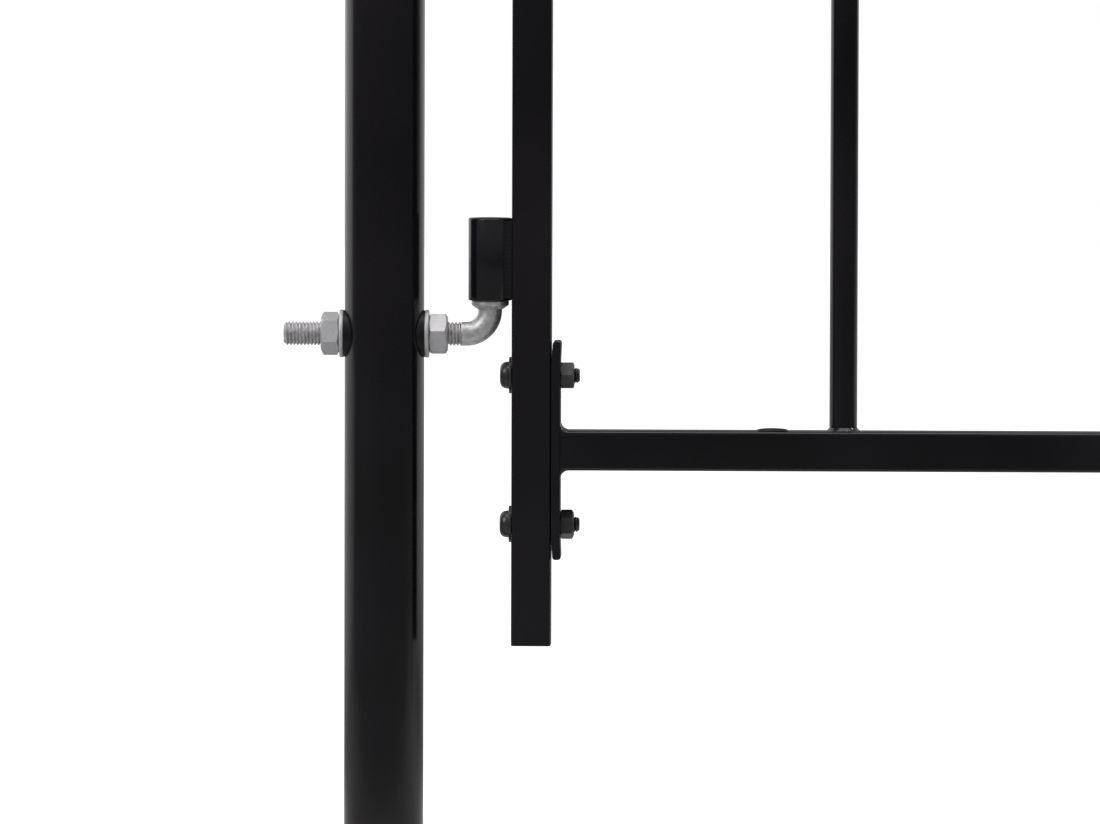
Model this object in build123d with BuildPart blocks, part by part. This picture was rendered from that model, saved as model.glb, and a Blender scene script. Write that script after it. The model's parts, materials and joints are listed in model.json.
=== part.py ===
from build123d import *
from math import cos, radians, sin, sqrt
import os

# A spear-top garden gate: two round posts on base plates and, between them, a bolted leaf of square
# steel tube that swings on two bent hinge bolts and is shut by a sliding square bolt. Millimetres.
# The origin is on the hinge post's axis at the ground, +X runs to the latch post, +Y away from the
# front and +Z up.

# Leaf frame: square tube, its stiles and its rails
tube_side = 20.0
tube_wall = 1.5
tube_corner = 1.8
leaf_width = 920.0
stile_length = 900.0
ground_gap = 105.0
rail_inset = 98.5
stile_plug_flange = 1.6
stile_plug_depth = 14.0

# Posts, base plates and caps
post_diameter = 40.0
post_wall = 2.0
post_top = 1130.0
latch_gap = 30.0
base_side = 100.0
base_thickness = 6.0
base_corner = 8.0
base_hole_spacing = 70.0
base_hole_diameter = 11.0
base_weld_leg = 5.0
cap_rim = 3.0
cap_dome = 6.0
cap_plug_depth = 20.0

# Hinge bolts: bent rod, threaded through the post, with a swaged collar under the pin
hinge_bolt_diameter = 12.0
hinge_hole_diameter = 13.0
hinge_bend = 12.0
hinge_inset = 156.7
hinge_outer_spare = 18.7
hinge_inner_spare = 9.3
hinge_end_chamfer = 1.4
collar_neck = 0.4
collar_shoulder = 0.4
collar_taper = 2.0
collar_thickness = 2.4
collar_diameter = 18.8
pin_shortfall = 2.0

# Hinge hardware on the post
hinge_nut_flats = 19.0
hinge_nut_height = 9.4
hinge_washer_diameter = 24.0
hinge_washer_bore = 13.0
hinge_washer_thickness = 2.0
saddle_diameter = 23.4
saddle_web = 0.5

# Hinge barrels on the stile and their welds
barrel_diameter = 22.0
barrel_length = 41.5
barrel_edge = 0.7
barrel_weld_angle = 50.0
barrel_weld_leg = 8.6
barrel_weld_root = 3.0
barrel_weld_inset = 1.2

# End plates of the rails, their welds, screws, washers and nuts
plate_length = 110.0
plate_thickness = 4.6
plate_lip = 9.5
plate_lift = 0.6
plate_corner = 1.6
rail_weld_leg = 4.0
rail_weld_hollow = 1.0
rail_weld_side_gap = 1.0
screw_spacing = 75.0
screw_diameter = 8.0
screw_hole_diameter = 9.0
screw_head_diameter = 13.6
screw_head_height = 4.6
screw_head_rim = 1.0
screw_head_flat = 6.4
screw_head_bulge = 1.0
screw_socket_flats = 5.0
screw_socket_depth = 2.6
screw_tip = 2.8
screw_tip_chamfer = 1.2
screw_washer_diameter = 18.4
screw_washer_thickness = 1.4
nut_flats = 13.0
nut_height = 6.8
nut_chamfer_slope = 0.5

# How far each nut ended up turned about its bolt, in degrees: at the hinges outer then inner, at the
# rails the hinge stile's lower and upper nut, then the latch stile's
hinge_nut_turns = {"lower": (9, 21), "upper": (22, 11)}
rail_nut_turns = {"bottom": (5, 30, 14, 52), "top": (41, 9, 27, 18)}

# Pickets and their spear points
picket_count = 5
picket_diameter = 14.0
picket_wall = 1.5
picket_rise = 85.0
picket_weld_leg = 1.8
spear_spigot = 16.0
spear_collar_diameter = 21.0
spear_collar_height = 7.0
spear_collar_round = 2.4
spear_neck_diameter = 11.0
spear_neck_height = 5.0
spear_blade_length = 92.0
spear_blade_width = 34.0
spear_blade_thickness = 13.0
spear_tip_width = 1.6
spear_shoulder_height = 15.0
spear_shoulder_width = 25.0
spear_shoulder_thickness = 12.2
spear_belly_height = 33.0

# Domed plugs in the bottom rail's upper wall
plug_offset = 111.0
plug_diameter = 16.0
plug_rim = 0.4
plug_dome = 0.9
plug_stem_diameter = 12.0
plug_stem_depth = 5.0

# Slide bolt on the latch stile and its keeper on the latch post
bolt_side = 12.0
bolt_length = 130.0
bolt_setback = 1.0
bolt_nose_chamfer = 2.0
sleeve_wall = 1.75
sleeve_length = 45.0
sleeve_weld_leg = 3.0
sleeve_weld_hollow = 0.6
handle_inset = 16.0
handle_diameter = 9.0
handle_length = 30.0
handle_socket = 8.0
knob_diameter = 26.0
knob_flat = 10.0
knob_hub = 14.0
keeper_opening = 15.0
keeper_wall = 2.5
keeper_length = 24.0
keeper_weld_leg = 3.0

# Clearances: a turning pin, a sliding bar, a thread in its nut, a push fit, a seat on a curved face
running_clearance = 0.1
slide_clearance = 0.25
thread_clearance = 0.05
push_clearance = 0.15
seat_clearance = 0.02

# Places that follow from those sizes
post_radius = post_diameter / 2
post_bore = post_diameter - 2 * post_wall
hinge_washer_seat = post_radius + saddle_web
hinge_nut_seat = hinge_washer_seat + hinge_washer_thickness
hinge_nut_end = hinge_nut_seat + hinge_nut_height
hinge_tail = hinge_nut_end + hinge_outer_spare
hinge_reach = hinge_nut_end + hinge_inner_spare + hinge_bend
collar_rise = hinge_bend + collar_neck + collar_taper + collar_thickness
barrel_radius = barrel_diameter / 2
barrel_bore = hinge_bolt_diameter + 2 * running_clearance
barrel_rise = collar_rise + running_clearance
pin_rise = barrel_rise + barrel_length - pin_shortfall

tube_half = tube_side / 2
tube_bore = tube_side - 2 * tube_wall
leaf_left = hinge_reach + barrel_radius
leaf_right = leaf_left + leaf_width
hinge_stile_x = leaf_left + tube_half
latch_stile_x = leaf_right - tube_half
hinge_stile_face = leaf_left + tube_side
latch_stile_face = leaf_right - tube_side
latch_post_x = leaf_right + latch_gap + post_radius
stile_bottom = ground_gap
stile_top = ground_gap + stile_length
bottom_rail_z = stile_bottom + rail_inset
top_rail_z = stile_top - rail_inset
lower_hinge_z = stile_bottom + hinge_inset
upper_hinge_z = stile_top - hinge_inset
rail_start = hinge_stile_face + plate_thickness
rail_end = latch_stile_face - plate_thickness
picket_pitch = (latch_stile_face - hinge_stile_face) / (picket_count + 1)
picket_places = [hinge_stile_face + picket_pitch * (number + 1) for number in range(picket_count)]
picket_bottom = bottom_rail_z - tube_half + tube_wall
picket_top = top_rail_z + tube_half + picket_rise
plug_places = [hinge_stile_face + plug_offset, latch_stile_face - plug_offset]
bolt_z = (stile_bottom + stile_top) / 2
bolt_nose_x = leaf_right - bolt_setback
bolt_tail_x = bolt_nose_x - bolt_length
handle_x = bolt_tail_x + handle_inset
bolt_way = bolt_side + 2 * slide_clearance
sleeve_side = bolt_way + 2 * sleeve_wall
keeper_side = keeper_opening + 2 * keeper_wall
keeper_mouth_x = latch_post_x - post_radius - keeper_length

os.makedirs("parts", exist_ok=True)


def save(part, name):
    """Label a finished piece and write it under its own name."""
    part.label = name
    export_step(part, f"parts/{name}.step")


def lathe_plane(origin, axis, radial):
    """A plane for turned profiles: its x runs out from the axis and its y along it."""
    return Plane(origin=origin, x_dir=radial, z_dir=Vector(radial).cross(Vector(axis)))


def seat_plane(origin, axis):
    """A plane that a fastener lying along X is seated on, with its z along the axis and its x up."""
    return Plane(origin=origin, x_dir=(0, 0, 1), z_dir=axis)


# Posts and base plates
def post_tube(x, hole_heights):
    """A post's tube, drilled along X for hinge bolts at the heights given."""
    with BuildPart() as tube:
        with BuildSketch(Plane((x, 0, base_thickness))):
            Circle(post_radius)
            Circle(post_bore / 2, mode=Mode.SUBTRACT)
        extrude(amount=post_top - base_thickness)
        for height in hole_heights:
            with BuildSketch(Plane((x - post_diameter, 0, height), z_dir=(1, 0, 0))):
                Circle(hinge_hole_diameter / 2)
            extrude(amount=2 * post_diameter, mode=Mode.SUBTRACT)
    return tube.part


def base_plate(x):
    """A square foot with four anchor holes."""
    with BuildPart() as plate:
        with BuildSketch(Plane((x, 0, 0))):
            RectangleRounded(base_side, base_side, base_corner)
            with GridLocations(base_hole_spacing, base_hole_spacing, 2, 2):
                Circle(base_hole_diameter / 2, mode=Mode.SUBTRACT)
        extrude(amount=base_thickness)
    return plate.part


def ring_welds(corners, radius, leg):
    """Fillet welds round upright tubes. Each corner is its x, its height and its way up or down."""
    with BuildPart() as welds:
        for x, height, way in corners:
            with BuildSketch(lathe_plane((x, 0, height), (0, 0, way), (1, 0, 0))):
                with BuildLine():
                    Polyline((radius, 0), (radius + leg, 0), (radius, leg), close=True)
                make_face()
            revolve(axis=Axis((x, 0, height), (0, 0, 1)))
    return welds.part


def dome_shoulder(radius, rise):
    """How high a round dome stands half way out from its middle."""
    sphere = (radius**2 + rise**2) / (2 * rise)
    return sqrt(sphere**2 - (radius / 2) ** 2) - (sphere - rise)


def post_cap(x):
    """A domed push-in cap."""
    plug_radius = post_bore / 2 - push_clearance
    half_way = dome_shoulder(post_radius, cap_dome)
    with BuildPart() as cap:
        with BuildSketch(lathe_plane((x, 0, post_top), (0, 0, 1), (1, 0, 0))):
            with BuildLine():
                Polyline((0, cap_rim + cap_dome), (0, -cap_plug_depth), (plug_radius, -cap_plug_depth))
                Polyline((plug_radius, -cap_plug_depth), (plug_radius, 0), (post_radius, 0))
                Line((post_radius, 0), (post_radius, cap_rim))
                ThreePointArc(
                    (post_radius, cap_rim),
                    (post_radius / 2, cap_rim + half_way),
                    (0, cap_rim + cap_dome),
                )
            make_face()
        revolve(axis=Axis((x, 0, post_top), (0, 0, 1)))
    return cap.part


save(post_tube(0, [lower_hinge_z, upper_hinge_z]), "hinge_post")
save(post_tube(latch_post_x, []), "latch_post")
save(base_plate(0), "hinge_post_base")
save(base_plate(latch_post_x), "latch_post_base")
save(post_cap(0), "hinge_post_cap")
save(post_cap(latch_post_x), "latch_post_cap")
base_weld_corners = [(x, base_thickness, 1) for x in (0, latch_post_x)]
save(ring_welds(base_weld_corners, post_radius, base_weld_leg), "post_base_welds")


# Hinge bolts and what clamps them to the post
def hinge_bolt(height, up):
    """A bent hinge bolt through the post, its pin pointing up (1) or down (-1)."""
    pin_end = height + up * pin_rise
    pin_radius = hinge_bolt_diameter / 2
    collar_foot = collar_rise - collar_thickness
    with BuildPart() as bolt:
        with BuildLine(Plane.XZ):
            FilletPolyline(
                (-hinge_tail, height),
                (hinge_reach, height),
                (hinge_reach, pin_end),
                radius=hinge_bend,
            )
        with BuildSketch(Plane((-hinge_tail, 0, height), z_dir=(1, 0, 0))):
            Circle(pin_radius)
        sweep()
        rod_ends = bolt.edges().filter_by(GeomType.CIRCLE).sort_by(Axis.X)
        pin_ends = bolt.edges().filter_by(GeomType.CIRCLE).sort_by(Axis((0, 0, 0), (0, 0, up)))
        chamfer([rod_ends[0], pin_ends[-1]], hinge_end_chamfer)
        with BuildSketch(lathe_plane((hinge_reach, 0, height), (0, 0, up), (1, 0, 0))):
            with BuildLine():
                Polyline(
                    (0, collar_foot - collar_taper),
                    (pin_radius + collar_shoulder, collar_foot - collar_taper),
                    (collar_diameter / 2, collar_foot),
                    (collar_diameter / 2, collar_rise),
                    (0, collar_rise),
                    close=True,
                )
            make_face()
        revolve(axis=Axis((hinge_reach, 0, height), (0, 0, 1)))
    return bolt.part


def hex_nuts(seats, flats, height, bore):
    """Chamfered hexagon nuts. Each seat is its origin, its axis and how far the nut is turned."""
    chamfer_depth = flats / 2 * nut_chamfer_slope
    with BuildPart() as nuts:
        for origin, axis, turn in seats:
            with BuildSketch(seat_plane(origin, axis)):
                RegularPolygon(flats / 2, 6, major_radius=False, rotation=turn)
                Circle(bore / 2, mode=Mode.SUBTRACT)
            extrude(amount=height)
            with BuildSketch(lathe_plane(origin, axis, (0, 0, 1))):
                with BuildLine():
                    Polyline(
                        (flats / 2, height),
                        (flats, height),
                        (flats, height - chamfer_depth),
                        close=True,
                    )
                make_face()
            revolve(axis=Axis(origin, axis), mode=Mode.SUBTRACT)
    return nuts.part


def flat_washers(seats, diameter, bore, thickness):
    """Plain washers, each lying on its seat."""
    with BuildPart() as washers:
        for origin, axis in seats:
            with BuildSketch(seat_plane(origin, axis)):
                Circle(diameter / 2)
                Circle(bore / 2, mode=Mode.SUBTRACT)
            extrude(amount=thickness)
    return washers.part


def saddle_washers(height):
    """The two moulded washers that make the round post flat for the hinge bolt's washers."""
    with BuildPart() as saddles:
        for side in (-1, 1):
            with BuildSketch(seat_plane((side * hinge_washer_seat, 0, height), (-side, 0, 0))):
                Circle(saddle_diameter / 2)
                Circle(hinge_hole_diameter / 2, mode=Mode.SUBTRACT)
            extrude(amount=hinge_washer_seat)
        with BuildSketch(Plane((0, 0, height - saddle_diameter))):
            Circle(post_radius + seat_clearance)
        extrude(amount=2 * saddle_diameter, mode=Mode.SUBTRACT)
    return saddles.part


hinge_nut_bore = hinge_bolt_diameter + 2 * thread_clearance
for place, height, up in (("lower", lower_hinge_z, 1), ("upper", upper_hinge_z, -1)):
    outer_turn, inner_turn = hinge_nut_turns[place]
    washer_seats = [((side * hinge_washer_seat, 0, height), (side, 0, 0)) for side in (-1, 1)]
    nut_seats = [
        ((-hinge_nut_seat, 0, height), (-1, 0, 0), outer_turn),
        ((hinge_nut_seat, 0, height), (1, 0, 0), inner_turn),
    ]
    save(hinge_bolt(height, up), f"{place}_hinge_bolt")
    save(hex_nuts(nut_seats, hinge_nut_flats, hinge_nut_height, hinge_nut_bore), f"{place}_hinge_nuts")
    save(
        flat_washers(washer_seats, hinge_washer_diameter, hinge_washer_bore, hinge_washer_thickness),
        f"{place}_hinge_washers",
    )
    save(saddle_washers(height), f"{place}_hinge_saddles")


# Hinge barrels and the welds that hold them to the stile
def hinge_barrel(height, up):
    """A barrel that stands on the hinge bolt's collar and turns about its pin."""
    with BuildPart() as barrel:
        with BuildSketch(Plane((hinge_reach, 0, height + up * barrel_rise))):
            Circle(barrel_radius)
            Circle(barrel_bore / 2, mode=Mode.SUBTRACT)
        extrude(amount=up * barrel_length)
        rims = barrel.edges().filter_by(GeomType.CIRCLE).group_by(SortBy.RADIUS)[-1]
        chamfer(rims, barrel_edge)
    return barrel.part


def barrel_welds(height, up):
    """The two beads, before and behind, in the groove between barrel and stile."""
    angle = radians(barrel_weld_angle)
    weld_length = barrel_length - 2 * barrel_weld_inset
    with BuildPart() as welds:
        with BuildSketch(Plane((0, 0, height + up * (barrel_rise + barrel_weld_inset)))):
            for side in (-1, 1):
                with BuildLine():
                    Polyline(
                        (hinge_reach + barrel_radius * cos(angle), side * barrel_radius * sin(angle)),
                        (leaf_left, side * barrel_weld_leg),
                        (leaf_left, side * barrel_weld_root),
                        (hinge_reach, side * barrel_weld_root),
                        close=True,
                    )
                make_face()
            with Locations((hinge_reach, 0)):
                Circle(barrel_radius + seat_clearance, mode=Mode.SUBTRACT)
        extrude(amount=up * weld_length)
    return welds.part


for place, height, up in (("lower", lower_hinge_z, 1), ("upper", upper_hinge_z, -1)):
    save(hinge_barrel(height, up), f"{place}_hinge_barrel")
    save(barrel_welds(height, up), f"{place}_barrel_welds")


# Stiles and rails
screw_heights = {
    "bottom": [bottom_rail_z - screw_spacing / 2, bottom_rail_z + screw_spacing / 2],
    "top": [top_rail_z - screw_spacing / 2, top_rail_z + screw_spacing / 2],
}


def square_tube(plane, length):
    """A length of the leaf's square tube."""
    with BuildPart() as tube:
        with BuildSketch(plane):
            RectangleRounded(tube_side, tube_side, tube_corner)
            RectangleRounded(tube_bore, tube_bore, tube_corner / 2, mode=Mode.SUBTRACT)
        extrude(amount=length)
    return tube.part


def stile_tube(x):
    """A stile, drilled through along X for the rails' screws, between its end plugs."""
    with BuildPart() as stile:
        add(
            square_tube(
                Plane((x, 0, stile_bottom + stile_plug_flange)),
                stile_length - 2 * stile_plug_flange,
            )
        )
        for height in screw_heights["bottom"] + screw_heights["top"]:
            with BuildSketch(Plane((x - tube_side, 0, height), z_dir=(1, 0, 0))):
                Circle(screw_hole_diameter / 2)
            extrude(amount=2 * tube_side, mode=Mode.SUBTRACT)
    return stile.part


def stile_plugs(x):
    """The push-in plugs at a stile's two ends."""
    plug_side = tube_bore - 2 * push_clearance
    with BuildPart() as plugs:
        for height, way in ((stile_bottom, 1), (stile_top, -1)):
            with BuildSketch(Plane((x, 0, height))):
                RectangleRounded(tube_side, tube_side, tube_corner)
            extrude(amount=way * stile_plug_flange)
            with BuildSketch(Plane((x, 0, height + way * stile_plug_flange))):
                RectangleRounded(plug_side, plug_side, tube_corner / 2)
            extrude(amount=way * stile_plug_depth)
    return plugs.part


def rail_tube(height):
    """A rail between its end plates."""
    with BuildPart() as rail:
        add(
            square_tube(
                Plane((rail_start, 0, height), x_dir=(0, 1, 0), z_dir=(1, 0, 0)),
                rail_end - rail_start,
            )
        )
    return rail.part


save(stile_tube(hinge_stile_x), "hinge_stile")
save(stile_plugs(hinge_stile_x), "hinge_stile_plugs")
save(stile_plugs(latch_stile_x), "latch_stile_plugs")

with BuildPart() as latch_stile:
    add(stile_tube(latch_stile_x))
    with BuildSketch(Plane((latch_stile_face - tube_wall, 0, bolt_z), z_dir=(1, 0, 0))):
        Rectangle(bolt_way, bolt_way)
    extrude(amount=tube_side + 2 * tube_wall, mode=Mode.SUBTRACT)
save(latch_stile.part, "latch_stile")

picket_hole_radius = picket_diameter / 2 + push_clearance

with BuildPart() as bottom_rail:
    add(rail_tube(bottom_rail_z))
    with BuildSketch(Plane((0, 0, bottom_rail_z))):
        with Locations(*[(x, 0) for x in picket_places]):
            Circle(picket_hole_radius)
        with Locations(*[(x, 0) for x in plug_places]):
            Circle(plug_stem_diameter / 2 + push_clearance)
    extrude(amount=tube_side, mode=Mode.SUBTRACT)
save(bottom_rail.part, "bottom_rail")

with BuildPart() as top_rail:
    add(rail_tube(top_rail_z))
    with BuildSketch(Plane((0, 0, top_rail_z))):
        with Locations(*[(x, 0) for x in picket_places]):
            Circle(picket_hole_radius)
    extrude(amount=tube_side, both=True, mode=Mode.SUBTRACT)
save(top_rail.part, "top_rail")


# End plates, welded to the rails and screwed to the stiles
def end_plate(face_x, way, height):
    """A flat bar on a stile's inner face. Its two ends are drawn clear of the stile by the welds."""
    half = plate_length / 2
    near = [
        (plate_lift, -half),
        (0, plate_lip - half),
        (0, half - plate_lip),
        (plate_lift, half),
    ]
    far = [(x + plate_thickness, z) for x, z in reversed(near)]
    with BuildPart() as plate:
        with BuildSketch(Plane.XZ):
            with BuildLine():
                Polyline([(face_x + way * x, height + z) for x, z in near + far], close=True)
            make_face()
        extrude(amount=tube_half, both=True)
        ends = plate.edges().filter_by(Axis.Y).group_by(Axis.Z)
        fillet(ends[0] + ends[-1], plate_corner)
        for place in (height - screw_spacing / 2, height + screw_spacing / 2):
            with BuildSketch(Plane((face_x - way * tube_side, 0, place), z_dir=(way, 0, 0))):
                Circle(screw_hole_diameter / 2)
            extrude(amount=2 * tube_side, mode=Mode.SUBTRACT)
    return plate.part


def weld_beads(corners, leg, hollow, length):
    """Concave fillet beads along Y. Each corner is its x and z, and its ways along X and Z."""
    with BuildPart() as beads:
        for x, z, way_x, way_z in corners:
            with BuildSketch(Plane.XZ):
                with BuildLine():
                    Polyline((x, z + way_z * leg), (x, z), (x + way_x * leg, z))
                    SagittaArc((x + way_x * leg, z), (x, z + way_z * leg), way_x * way_z * hollow)
                make_face()
            extrude(amount=length / 2, both=True)
    return beads.part


for name, height in (("bottom", bottom_rail_z), ("top", top_rail_z)):
    save(end_plate(hinge_stile_face, 1, height), f"{name}_rail_hinge_plate")
    save(end_plate(latch_stile_face, -1, height), f"{name}_rail_latch_plate")

rail_weld_corners = [
    (x, height + way_z * tube_half, way_x, way_z)
    for height in (bottom_rail_z, top_rail_z)
    for x, way_x in ((rail_start, 1), (rail_end, -1))
    for way_z in (-1, 1)
]
rail_weld_length = tube_side - 2 * rail_weld_side_gap
save(weld_beads(rail_weld_corners, rail_weld_leg, rail_weld_hollow, rail_weld_length), "rail_welds")


# Screws that hold the rails to the stiles
def button_screws(seats):
    """Round-head socket screws. Each seat is the washer's outer face and the way of the shank."""
    shank = screw_washer_thickness + tube_side + plate_thickness + nut_height + screw_tip
    head_radius = screw_head_diameter / 2
    shank_radius = screw_diameter / 2
    flat_radius = screw_head_flat / 2
    crown = -screw_head_height
    with BuildPart() as screws:
        for origin, axis in seats:
            with BuildSketch(lathe_plane(origin, axis, (0, 0, 1))):
                with BuildLine():
                    Line((0, crown), (flat_radius, crown))
                    SagittaArc((flat_radius, crown), (head_radius, -screw_head_rim), -screw_head_bulge)
                    Polyline(
                        (head_radius, -screw_head_rim),
                        (head_radius, 0),
                        (shank_radius, 0),
                        (shank_radius, shank - screw_tip_chamfer),
                        (shank_radius - screw_tip_chamfer, shank),
                        (0, shank),
                        (0, crown),
                    )
                make_face()
            revolve(axis=Axis(origin, axis))
            crown_centre = Vector(origin) - Vector(axis) * screw_head_height
            with BuildSketch(seat_plane(crown_centre, axis)):
                RegularPolygon(screw_socket_flats / 2, 6, major_radius=False)
            extrude(amount=screw_socket_depth, mode=Mode.SUBTRACT)
    return screws.part


nut_bore = screw_diameter + 2 * thread_clearance
for name, heights in screw_heights.items():
    faces = [(leaf_left, 1, z) for z in heights] + [(leaf_right, -1, z) for z in heights]
    head_seats = [((x - way * screw_washer_thickness, 0, z), (way, 0, 0)) for x, way, z in faces]
    washer_seats = [((x, 0, z), (-way, 0, 0)) for x, way, z in faces]
    nut_places = [(x + way * (tube_side + plate_thickness), way, z) for x, way, z in faces]
    turned = zip(nut_places, rail_nut_turns[name])
    nut_seats = [((x, 0, z), (way, 0, 0), turn) for (x, way, z), turn in turned]
    save(button_screws(head_seats), f"{name}_rail_screws")
    save(
        flat_washers(washer_seats, screw_washer_diameter, screw_hole_diameter, screw_washer_thickness),
        f"{name}_rail_washers",
    )
    save(hex_nuts(nut_seats, nut_flats, nut_height, nut_bore), f"{name}_rail_nuts")


# Pickets and spear points
def picket_tube(x):
    """A picket, standing on the bottom rail's lower wall."""
    with BuildPart() as picket:
        with BuildSketch(Plane((x, 0, picket_bottom))):
            Circle(picket_diameter / 2)
            Circle(picket_diameter / 2 - picket_wall, mode=Mode.SUBTRACT)
        extrude(amount=picket_top - picket_bottom)
    return picket.part


def spear_point(x):
    """A cast spear point: a spigot in the picket, a round collar, a neck and a ribbed leaf blade."""
    collar_top = picket_top + spear_collar_height
    blade_foot = collar_top + spear_neck_height
    blade_sections = [
        (0, spear_neck_diameter, spear_neck_diameter),
        (spear_shoulder_height, spear_shoulder_width, spear_shoulder_thickness),
        (spear_belly_height, spear_blade_width, spear_blade_thickness),
        (spear_blade_length, spear_tip_width, spear_tip_width),
    ]
    with BuildPart() as spear:
        with BuildSketch(Plane((x, 0, picket_top - spear_spigot))):
            Circle(picket_diameter / 2 - picket_wall - push_clearance)
        extrude(amount=spear_spigot)
        with BuildSketch(Plane((x, 0, picket_top))):
            Circle(spear_collar_diameter / 2)
        extrude(amount=spear_collar_height)
        rims = spear.edges().filter_by(GeomType.CIRCLE).group_by(SortBy.RADIUS)[-1]
        fillet(rims, spear_collar_round)
        with BuildSketch(Plane((x, 0, collar_top))):
            Circle(spear_neck_diameter / 2)
        extrude(amount=spear_neck_height)
        for rise, width, thickness in blade_sections:
            with BuildSketch(Plane((x, 0, blade_foot + rise))):
                with BuildLine():
                    Polyline(
                        (-width / 2, 0),
                        (0, -thickness / 2),
                        (width / 2, 0),
                        (0, thickness / 2),
                        close=True,
                    )
                make_face()
        loft()
    return spear.part


for number, x in enumerate(picket_places, start=1):
    save(picket_tube(x), f"picket_{number}")
    save(spear_point(x), f"spear_point_{number}")

picket_weld_corners = [
    (x, height, way)
    for x in picket_places
    for height, way in (
        (bottom_rail_z + tube_half, 1),
        (top_rail_z - tube_half, -1),
        (top_rail_z + tube_half, 1),
    )
]
save(ring_welds(picket_weld_corners, picket_diameter / 2, picket_weld_leg), "picket_welds")

# Low domed plugs that close the bottom rail's coating holes
plug_shoulder = dome_shoulder(plug_diameter / 2, plug_dome)

with BuildPart() as rail_plugs:
    for x in plug_places:
        with BuildSketch(lathe_plane((x, 0, bottom_rail_z + tube_half), (0, 0, 1), (1, 0, 0))):
            with BuildLine():
                Polyline(
                    (0, plug_rim + plug_dome),
                    (0, -plug_stem_depth),
                    (plug_stem_diameter / 2, -plug_stem_depth),
                    (plug_stem_diameter / 2, 0),
                    (plug_diameter / 2, 0),
                    (plug_diameter / 2, plug_rim),
                )
                ThreePointArc(
                    (plug_diameter / 2, plug_rim),
                    (plug_diameter / 4, plug_rim + plug_shoulder),
                    (0, plug_rim + plug_dome),
                )
            make_face()
        revolve(axis=Axis((x, 0, bottom_rail_z), (0, 0, 1)))
save(rail_plugs.part, "rail_plugs")

# Slide bolt: a square bar in a sleeve on the stile, drawn back at rest
with BuildPart() as bolt_sleeve:
    with BuildSketch(Plane((latch_stile_face - sleeve_length, 0, bolt_z), z_dir=(1, 0, 0))):
        Rectangle(sleeve_side, sleeve_side)
        Rectangle(bolt_way, bolt_way, mode=Mode.SUBTRACT)
    extrude(amount=sleeve_length)
save(bolt_sleeve.part, "bolt_sleeve")

sleeve_weld_corners = [(latch_stile_face, bolt_z + way * sleeve_side / 2, -1, way) for way in (-1, 1)]
save(weld_beads(sleeve_weld_corners, sleeve_weld_leg, sleeve_weld_hollow, sleeve_side), "sleeve_welds")

with BuildPart() as bolt_bar:
    with BuildSketch(Plane((bolt_tail_x, 0, bolt_z), z_dir=(1, 0, 0))):
        Rectangle(bolt_side, bolt_side)
    extrude(amount=bolt_length)
    chamfer(bolt_bar.faces().sort_by(Axis.X)[-1].edges(), bolt_nose_chamfer)
    with BuildSketch(Plane((handle_x, -bolt_side / 2, bolt_z), z_dir=(0, 1, 0))):
        Circle(handle_diameter / 2 + push_clearance)
    extrude(amount=handle_socket, mode=Mode.SUBTRACT)
save(bolt_bar.part, "bolt_bar")

handle_root = (handle_x, handle_socket - bolt_side / 2, bolt_z)
knob_foot = (handle_x, -bolt_side / 2 - handle_length, bolt_z)

with BuildPart() as bolt_handle:
    with BuildSketch(Plane(handle_root, z_dir=(0, -1, 0))):
        Circle(handle_diameter / 2)
    extrude(amount=handle_socket + handle_length + knob_hub)
save(bolt_handle.part, "bolt_handle")

knob_radius = knob_diameter / 2
knob_centre = sqrt(knob_radius**2 - (knob_flat / 2) ** 2)

with BuildPart() as bolt_knob:
    with BuildSketch(lathe_plane(knob_foot, (0, -1, 0), (1, 0, 0))):
        with BuildLine():
            Line((0, 0), (knob_flat / 2, 0))
            ThreePointArc(
                (knob_flat / 2, 0),
                (knob_radius, knob_centre),
                (0, knob_centre + knob_radius),
            )
            Line((0, knob_centre + knob_radius), (0, 0))
        make_face()
    revolve(axis=Axis(knob_foot, (0, -1, 0)))
    with BuildSketch(Plane(knob_foot, z_dir=(0, -1, 0))):
        Circle(handle_diameter / 2 + push_clearance)
    extrude(amount=knob_hub, mode=Mode.SUBTRACT)
save(bolt_knob.part, "bolt_knob")

# Keeper: a short square sleeve welded to the latch post, which the bolt shoots into
with BuildPart() as bolt_keeper:
    with BuildSketch(Plane((keeper_mouth_x, 0, bolt_z), z_dir=(1, 0, 0))):
        Rectangle(keeper_side, keeper_side)
        Rectangle(keeper_opening, keeper_opening, mode=Mode.SUBTRACT)
    extrude(amount=keeper_length + post_radius)
    with BuildSketch(Plane((latch_post_x, 0, bolt_z - keeper_side))):
        Circle(post_radius + seat_clearance)
    extrude(amount=2 * keeper_side, mode=Mode.SUBTRACT)
save(bolt_keeper.part, "bolt_keeper")

with BuildPart() as keeper_welds:
    for way in (-1, 1):
        weld_z = bolt_z + way * keeper_side / 2
        weld_x = latch_post_x - post_radius
        with BuildSketch(Plane.XZ):
            with BuildLine():
                Polyline(
                    (weld_x - keeper_weld_leg, weld_z),
                    (latch_post_x, weld_z),
                    (latch_post_x, weld_z + way * keeper_weld_leg),
                    (weld_x, weld_z + way * keeper_weld_leg),
                    close=True,
                )
            make_face()
        extrude(amount=keeper_side / 2, both=True)
    with BuildSketch(Plane((latch_post_x, 0, bolt_z - keeper_side))):
        Circle(post_radius + seat_clearance)
    extrude(amount=2 * keeper_side, mode=Mode.SUBTRACT)
save(keeper_welds.part, "keeper_welds")
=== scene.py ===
import json
import math

import bmesh
import bpy
from mathutils import Matrix, Vector
from mathutils.geometry import interpolate_bezier


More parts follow.
